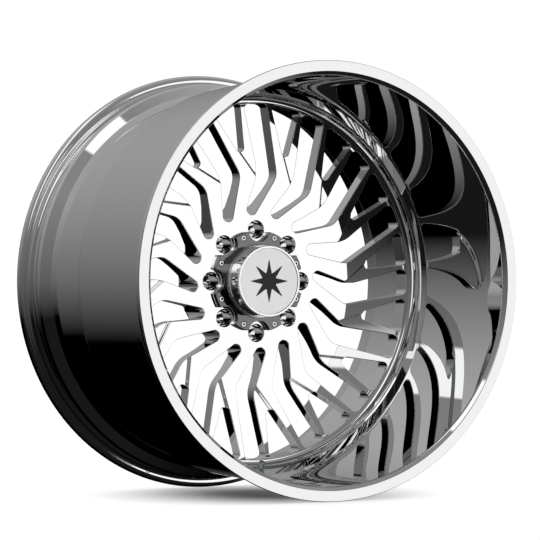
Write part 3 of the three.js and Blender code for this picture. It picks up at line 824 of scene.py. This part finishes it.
def build_cap_trim():
    back = CAP_TOP_Y + 2.7
    inner = PLATE_RADIUS + 0.3
    build_turned("cap_rim", [
        (inner, back, 0.3), (inner, CAP_TOP_Y + 0.3, 0.2), (inner + 0.3, CAP_TOP_Y, 0.3),
        (CAP_BODY_RADIUS, CAP_TOP_Y, 1.1), (CAP_BODY_RADIUS, back, 0.4)],
        "cap", "polished_alloy", POLISHED, "cap_ring")
    build_turned("cap_plate", [
        (0, PLATE_Y, 0), (PLATE_RADIUS, PLATE_Y, 0.4), (PLATE_RADIUS, PLATE_BACK_Y, 0.2),
        (0, PLATE_BACK_Y, 0)], "cap", "pale_enamel", PALE, "emblem_plate")
    groove = CAP_SPIGOT_Y - 6.1
    shell = Shell()
    ring = [(CAP_SPIGOT_RADIUS - 0.9 + 1.2 * math.cos(a), groove + 1.2 * math.sin(a),
             math.cos(a), math.sin(a)) for a in np.linspace(0, 2 * math.pi, 17)[:-1]]
    shell.revolve(ring, CAP_ROUND)
    piece("cap_seal", shell.mesh("cap_seal"), "cap", "rubber", RUBBER, "cap_oring")


def build_inlay():
    """Plain eight-bladed rosette, as a raised inlay."""
    points = []
    for i in range(2 * LUGS):
        radius, fillet = (36, 0.5) if i % 2 == 0 else (13, 1.2)
        a = -math.pi * i / LUGS
        points.append((radius * math.sin(a), radius * math.cos(a), fillet))
    outline = flipped(rounded(points, arc_degrees=30))
    back = PLATE_Y - 0.3
    shell = Shell()
    front_loop, back_loop = through_hole(shell, outline, outline, flat(back - 0.5), flat(back), 0.15)
    shell.fill([front_loop], [])
    shell.fill([back_loop], [], back=True)
    piece("cap_inlay", shell.mesh("cap_inlay"), "cap", "dark_enamel", DARK, "emblem_inlay")


def build_screws():
    """Socket-head cap screws with a chamfered head and a hexagon socket."""
    low = mm_box("cap_screw_1")[0].y
    seat = low + 4.6
    tip = mm_box("cap_screw_1")[1].y
    hexagon = rounded([(2.35 * math.sin(a), 2.35 * math.cos(a), 0.15)
                       for a in [-math.pi * k / 3 for k in range(6)]], arc_degrees=30)
    section = rounded([
        (2.9, low, 0), (SCREW_HEAD_RADIUS, low, 0.55), (SCREW_HEAD_RADIUS, seat, 0.25),
        (2.4, seat, 0.2), (2.4, tip, 0.5), (0, tip, 0)], closed=False, arc_degrees=22)
    for i, place in enumerate(around(LUGS, SCREW_CIRCLE)):
        shell = Shell()
        rows = []
        for r, y, nr, ny in section:
            if r < 1e-6:
                rows.append(shell.row([((0, y, 0), (0, 1, 0))]))
                continue
            rows.append(shell.row([((u, y, v), (nu * nr, ny, nv * nr))
                                   for u, v, nu, nv in reversed(circle_outline(r, SMALL_ROUND))]))
        shell.strips(rows)
        socket = edge_rows(shell, hexagon, flat(low), 0.12, -1, 2)
        socket.append(shell.row([((u, low + 2.5, v), (-nu, 0, -nv)) for u, v, nu, nv in hexagon]))
        socket.append(shell.row([((0, low + 3.0, 0), (0, -1, 0))]))
        shell.strips(socket)
        shell.fill([rows[0], socket[0]], [])
        matrix = Matrix.Translation((place[0], 0, place[1]))
        name = f"socket_screw_{i + 1}"
        piece(name, shell.mesh(name, matrix), f"screw_{i + 1}", "screw_steel", CHROME,
              f"cap_screw_{i + 1}")


# ---- Valve ----------------------------------------------------------------------------------
def thread(radius, low, high, depth=0.45, pitch=0.794):
    """Ridges of a thread as (radius, height, fillet) corners."""
    corners = []
    for k in range(int((high - low) / pitch)):
        h = low + k * pitch
        corners += [(radius - depth, h + 0.1, 0.06), (radius, h + pitch / 2, 0.08)]
    return corners


def build_valve():
    wall, top = VALVE_WALL, VALVE_TOP
    head = -wall - 4.5
    parts = [
        ("tyre_valve_stem", "wheel", "valve_metal", VALVE_METAL, "valve_stem", [
            (8, head - 3.5, 0.6), (8, head, 0.5), (5.2, head, 0.3), (5.2, 0.5, 0.1),
            *thread(5.2, 1.0, 8.2), (5.1, 8.4, 0.1), (3.85, 9.3, 0.1),
            *thread(3.85, 9.6, top - 0.8, 0.35), (3.4, top, 0.15), (2.6, top, 0.15),
            (2.6, -3, 0.1), (1.4, -3, 0.1), (1.4, head - 3.5, 0.3)]),
        ("tyre_valve_grommet", "wheel", "rubber", RUBBER, "valve_grommet", [
            (5.5, -wall - 4.2, 0.4), (8.6, -wall - 4.2, 0.9), (8.6, -wall - 0.3, 0.9),
            (5.5, -wall - 0.3, 0.4)]),
        ("tyre_valve_washer", "wheel", "valve_metal", VALVE_METAL, "valve_washer", [
            (5.5, 0.3, 0.2), (8.6, 0.3, 0.3), (8.6, 1.8, 0.4), (5.5, 1.8, 0.2)]),
        ("tyre_valve_core", "wheel", "brass", BRASS, "valve_core", [
            (0.9, 5, 0.1), (2.3, 5, 0.25), (2.3, 16.2, 0.2), (1.8, 16.8, 0.15), (0.9, 16.8, 0.1)]),
        ("tyre_valve_pin", "pin", "brass", BRASS, "valve_pin", [
            (0, 3.4, 0), (1.9, 3.4, 0.3), (1.9, 4.7, 0.3), (0.55, 4.7, 0.2), (0.55, 17.4, 0.2),
            (0, 17.4, 0)]),
        ("tyre_valve_seal", "dust_cap_seal", "rubber", RUBBER, "valve_cap_seal", [
            (0, 18.5, 0), (3.7, 18.5, 0.3), (3.7, 19.8, 0.3), (0, 19.8, 0)]),
    ]
    for name, body, slot, material, node, corners in parts:
        shell, matrix = valve_turned(corners)
        piece(name, shell.mesh(name, matrix), body, slot, material, node)
    build_valve_nut()
    build_valve_cap()
    build_valve_spring()


def build_valve_nut():
    """Hexagon nut with a chamfered outer end, standing on the washer."""
    shell = Shell()
    low, high = NUT_LOW, NUT_HIGH
    rows = []
    hexagon = [(NUT_RADIUS * math.cos(math.pi * k / 3), NUT_RADIUS * math.sin(math.pi * k / 3), 0.6)
               for k in range(6)]
    outline = rounded(hexagon, pitch=0.8, arc_degrees=30)
    levels = ((0.97, low, -1, 0), (1, low + 0.3, 0, 0), (1, high - 0.5, 0, NUT_CHAMFER_SLOPE),
              (0.9, high, 1, 0))
    for share, h, lean, slope in levels:
        places = []
        for u, v, nu, nv in outline:
            # The chamfer is a cone, so it cuts lower at the corners than on the flats.
            fall = slope * max(0.0, math.hypot(u, v) - NUT_CHAMFER_RADIUS)
            places.append(((u * share, v * share, h - fall), (nu, nv, lean)))
        rows.append(shell.row(places))
    bore = [(5.5 * math.cos(2 * math.pi * k / 40), 5.5 * math.sin(2 * math.pi * k / 40))
            for k in range(40)]
    for h, lean in ((high, 1), (high - 0.4, 0), (low + 0.4, 0), (low, -1)):
        grow = 1.06 if lean else 1.0
        rows.append(shell.row([((x * grow, y * grow, h), (-x, -y, lean * 4)) for x, y in bore]))
    outer, inner = rows[:4], rows[4:]
    shell.strips(outer)
    shell.strips(inner)
    bridge(shell, outer[-1], inner[0])
    bridge(shell, outer[0], inner[-1], flip=True)
    nut = piece("tyre_valve_nut", shell.mesh("tyre_valve_nut", valve_matrix()), "wheel",
                "valve_metal", VALVE_METAL, "valve_nut")
    auto_smooth(nut)


def bridge(shell, outer, inner, flip=False):
    """Triangles between two closed rows round local Z with different counts."""
    i = j = 0
    while i < len(outer) or j < len(inner):
        a, b = outer[i % len(outer)], inner[j % len(inner)]
        if j >= len(inner) or (i < len(outer) and i / len(outer) <= j / len(inner)):
            face = [a, outer[(i + 1) % len(outer)], b]
            i += 1
        else:
            face = [a, inner[(j + 1) % len(inner)], b]
            j += 1
        shell.faces.append(face[::-1] if flip else face)


def auto_smooth(made, degrees=32):
    """Plain smooth shading with sharp edges where faces meet at more than an angle."""
    data = made.data
    attribute = data.attributes.get("custom_normal")
    if attribute:
        data.attributes.remove(attribute)
    data.shade_smooth()
    data.set_sharp_from_angle(angle=math.radians(degrees))


def build_valve_cap():
    """Dust cap: fluted grip, rounded end and a threaded bore."""
    shell = Shell()
    count, flutes = 144, 18
    rows = []
    outside = [(4.9, 9.9, 0), (5.2, 10.2, 0), (5.2, 10.9, 0), (5.3, 11.3, 1), (5.3, 18.6, 1),
               (5.2, 19.2, 0), (5.15, 20.0, 0), (4.9, 20.8, 0), (4.3, 21.25, 0), (3.2, 21.4, 0),
               (0, 21.4, 0)]
    inside_corners = [(0, 20.2, 0), (4.1, 20.2, 0), *[(r, h, 0) for r, h, _ in
                      thread(4.35, 10.6, 19.4, 0.2)[::-1]], (4.3, 9.9, 0)]
    for r, h, fluted in outside + inside_corners:
        if r == 0:
            rows.append(shell.row([((0, 0, h), (0, 0, 1))]))
            continue
        places = []
        for k in range(count):
            a = 2 * math.pi * k / count
            depth = 0.32 * max(0.0, math.cos(flutes * a)) if fluted else 0.0
            places.append((((r - depth) * math.cos(a), (r - depth) * math.sin(a), h), (0, 0, 1)))
        rows.append(shell.row(places))
    end = len(outside)
    shell.strips(rows[:end])
    shell.strips(rows[end:])
    shell.strip(rows[-1], rows[0])
    cap = piece("tyre_valve_cap", shell.mesh("tyre_valve_cap", valve_matrix()), "dust_cap",
                "valve_metal", VALVE_METAL, "valve_cap")
    auto_smooth(cap, 40)


def build_valve_spring():
    """Coil spring between the step in the stem and the pin's foot."""
    low, high, wire, turns, per_turn, sides = -2.45, 2.85, 0.25, 5, 24, 10
    shell = Shell()
    rows = []
    total = turns * per_turn
    for k in range(total + 1):
        a = 2 * math.pi * k / per_turn
        out = Vector((math.cos(a), math.sin(a), 0))
        centre = out * 1.5 + Vector((0, 0, low + (high - low) * k / total))
        ring = []
        for q in range(sides):
            b = 2 * math.pi * q / sides
            normal = out * math.cos(b) + Vector((0, 0, math.sin(b)))
            ring.append((centre + normal * wire, normal))
        rows.append(shell.row(ring))
    shell.strips(rows, flip=True)
    shell.faces.append(rows[0])
    shell.faces.append(rows[-1][::-1])
    matrix = valve_matrix()
    data = shell.mesh("tyre_valve_spring", matrix)
    spring = bpy.data.objects.new("tyre_valve_spring", data)
    bpy.context.scene.collection.objects.link(spring)
    data.materials.append(SPRING)
    auto_smooth(spring, 60)
    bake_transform(spring)
    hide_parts("valve_spring")


build_barrel()
build_centre()
build_cap_base()
build_cap_trim()
build_inlay()
build_screws()
build_valve()


# ---- Studio ---------------------------------------------------------------------------------
# Angles of the studio in degrees: heights above the horizon, and level directions clockwise from
# straight behind the wheel, so that 180 is the street side.
FLOOR_EDGE, CEILING_EDGE = -15, 35
STREET_SIDE, RIGHT_SIDE = 180, 90
KEY_DIRECTION, KEY_HALF_WIDTH = 128, 29
STRIP_DIRECTION, STRIP_LEAN, STRIP_HALF_WIDTH, STRIP_FOOT = 20, 10, 7, 15
LIGHT = 1.12                      # brightness of the key panel and the strip light
WHITE = 1.06                      # brightness of the white room that the camera sees


def build_world():
    """White room for the camera and the floor; reflections see grey walls and two lights."""
    world = bpy.data.worlds.new("studio")
    bpy.context.scene.world = world
    world.use_nodes = True
    nodes = Nodes(world.node_tree)
    direction = nodes.add("ShaderNodeTexCoord").outputs["Generated"]
    split = nodes.add("ShaderNodeSeparateXYZ", {0: direction})
    height = nodes.math("MULTIPLY_ADD", split.outputs[2], 0.5, 0.5)

    def level(degrees):
        """Place on the height ramp of an angle above the horizon."""
        return 0.5 + 0.5 * math.sin(math.radians(degrees))

    def wall(floor, horizon, ceiling):
        """Brightness that climbs from a dark floor, through the horizon, to a paler ceiling."""
        return nodes.ramp(height, [(0, floor), (level(FLOOR_EDGE), floor), (level(0), horizon),
                                   (level(CEILING_EDGE), ceiling), (1, ceiling)])

    def dot(x, y, z):
        return nodes.add("ShaderNodeVectorMath", {0: direction, 1: (x, y, z)},
                         operation="DOT_PRODUCT").outputs["Value"]

    def facing(degrees, inner, outer):
        """Mask round a level direction: whole within inner degrees of it, gone beyond outer."""
        a = math.radians(degrees)
        full, gone = math.cos(math.radians(inner)), math.cos(math.radians(outer))
        return nodes.ramp(dot(math.sin(a), math.cos(a), 0), [(0, 0), (gone, 0), (full, 1), (1, 1)])

    def over(mask, under, top):
        mix = nodes.add("ShaderNodeMix", {0: mask, 6: under, 7: top}, data_type="RGBA")
        return mix.outputs[2]

    def grey(value):
        return (value, value, value, 1)

    room = over(facing(STREET_SIDE, 75, 90), wall(0.0, 0.15, 0.4), wall(0.01, 0.12, 0.25))
    room = over(facing(RIGHT_SIDE, 37, 53), room, grey(0.2))
    a, lean = math.radians(STRIP_DIRECTION - 90), math.radians(STRIP_LEAN)
    across = nodes.math("ABSOLUTE", dot(
        math.sin(a) * math.cos(lean), math.cos(a) * math.cos(lean), -math.sin(lean)))
    edge = math.sin(math.radians(STRIP_HALF_WIDTH))
    strip = nodes.ramp(across, [(0, 1), (edge, 1), (edge + 0.015, 0), (1, 0)])
    strip = nodes.math("MULTIPLY", strip, facing(STREET_SIDE, 87, 90))
    foot = nodes.ramp(height, [(0, 0), (level(STRIP_FOOT - 3), 0), (level(STRIP_FOOT + 3), 1), (1, 1)])
    strip = nodes.math("MULTIPLY", strip, foot)
    room = over(strip, room, grey(LIGHT))
    key = facing(KEY_DIRECTION, KEY_HALF_WIDTH - 1, KEY_HALF_WIDTH + 1)
    studio = nodes.add("ShaderNodeBackground", {0: over(key, room, grey(LIGHT)), 1: 1.0})
    plain = nodes.add("ShaderNodeBackground", {0: grey(1), 1: WHITE})
    glossy = nodes.add("ShaderNodeLightPath").outputs["Is Glossy Ray"]
    mixed = nodes.add("ShaderNodeMixShader", {0: glossy, 1: plain.outputs[0], 2: studio.outputs[0]})
    nodes.add("ShaderNodeOutputWorld", {0: mixed.outputs[0]})


def build_floor():
    data = bpy.data.meshes.new("floor")
    half, z = 6.0, -FLANGE_RADIUS * MM
    data.from_pydata([(-half, -half, z), (half, -half, z), (half, half, z), (-half, half, z)], [],
                     [(0, 1, 2, 3)])
    floor = bpy.data.objects.new("floor", data)
    bpy.context.scene.collection.objects.link(floor)
    material = bpy.data.materials.new("pale_floor")
    material.use_nodes = True
    nodes = Nodes(material.node_tree)
    position = nodes.add("ShaderNodeTexCoord").outputs["Object"]
    distance = nodes.add("ShaderNodeVectorMath", {0: position, 1: (0, 0, z)},
                         operation="DISTANCE").outputs["Value"]
    clear = nodes.add("ShaderNodeMapRange", {0: distance, 1: 0.05, 2: 0.36},
                      interpolation_type="SMOOTHSTEP")
    shadowed = nodes.add("ShaderNodeBsdfDiffuse", {0: (0.97, 0.97, 0.97, 1)})
    bright = nodes.add("ShaderNodeEmission", {0: (1, 1, 1, 1), 1: WHITE})
    surface = nodes.add("ShaderNodeMixShader", {
        0: clear.outputs[0], 1: shadowed.outputs[0], 2: bright.outputs[0]})
    nodes.add("ShaderNodeOutputMaterial", {0: surface.outputs[0]})
    data.materials.append(material)
    floor.visible_glossy = False


CAMERA_PLACE = (-2.526, -4.353, -0.009)
CAMERA_HEADING, CAMERA_TILT, CAMERA_ROLL = 30.2, 0.31, 0.05   # right of the axis, up, clockwise
CAMERA_LENS = 205.5


def build_camera():
    data = bpy.data.cameras.new("camera")
    data.sensor_width, data.lens = 36.0, CAMERA_LENS
    data.clip_start, data.clip_end = 0.1, 50.0
    camera = bpy.data.objects.new("camera", data)
    bpy.context.scene.collection.objects.link(camera)
    camera.location = CAMERA_PLACE
    camera.rotation_euler = [math.radians(angle) for angle in (
        90 + CAMERA_TILT, CAMERA_ROLL, -CAMERA_HEADING)]
    bpy.context.scene.camera = camera


build_world()
build_floor()
build_camera()
bpy.context.scene.view_settings.view_transform = "Standard"
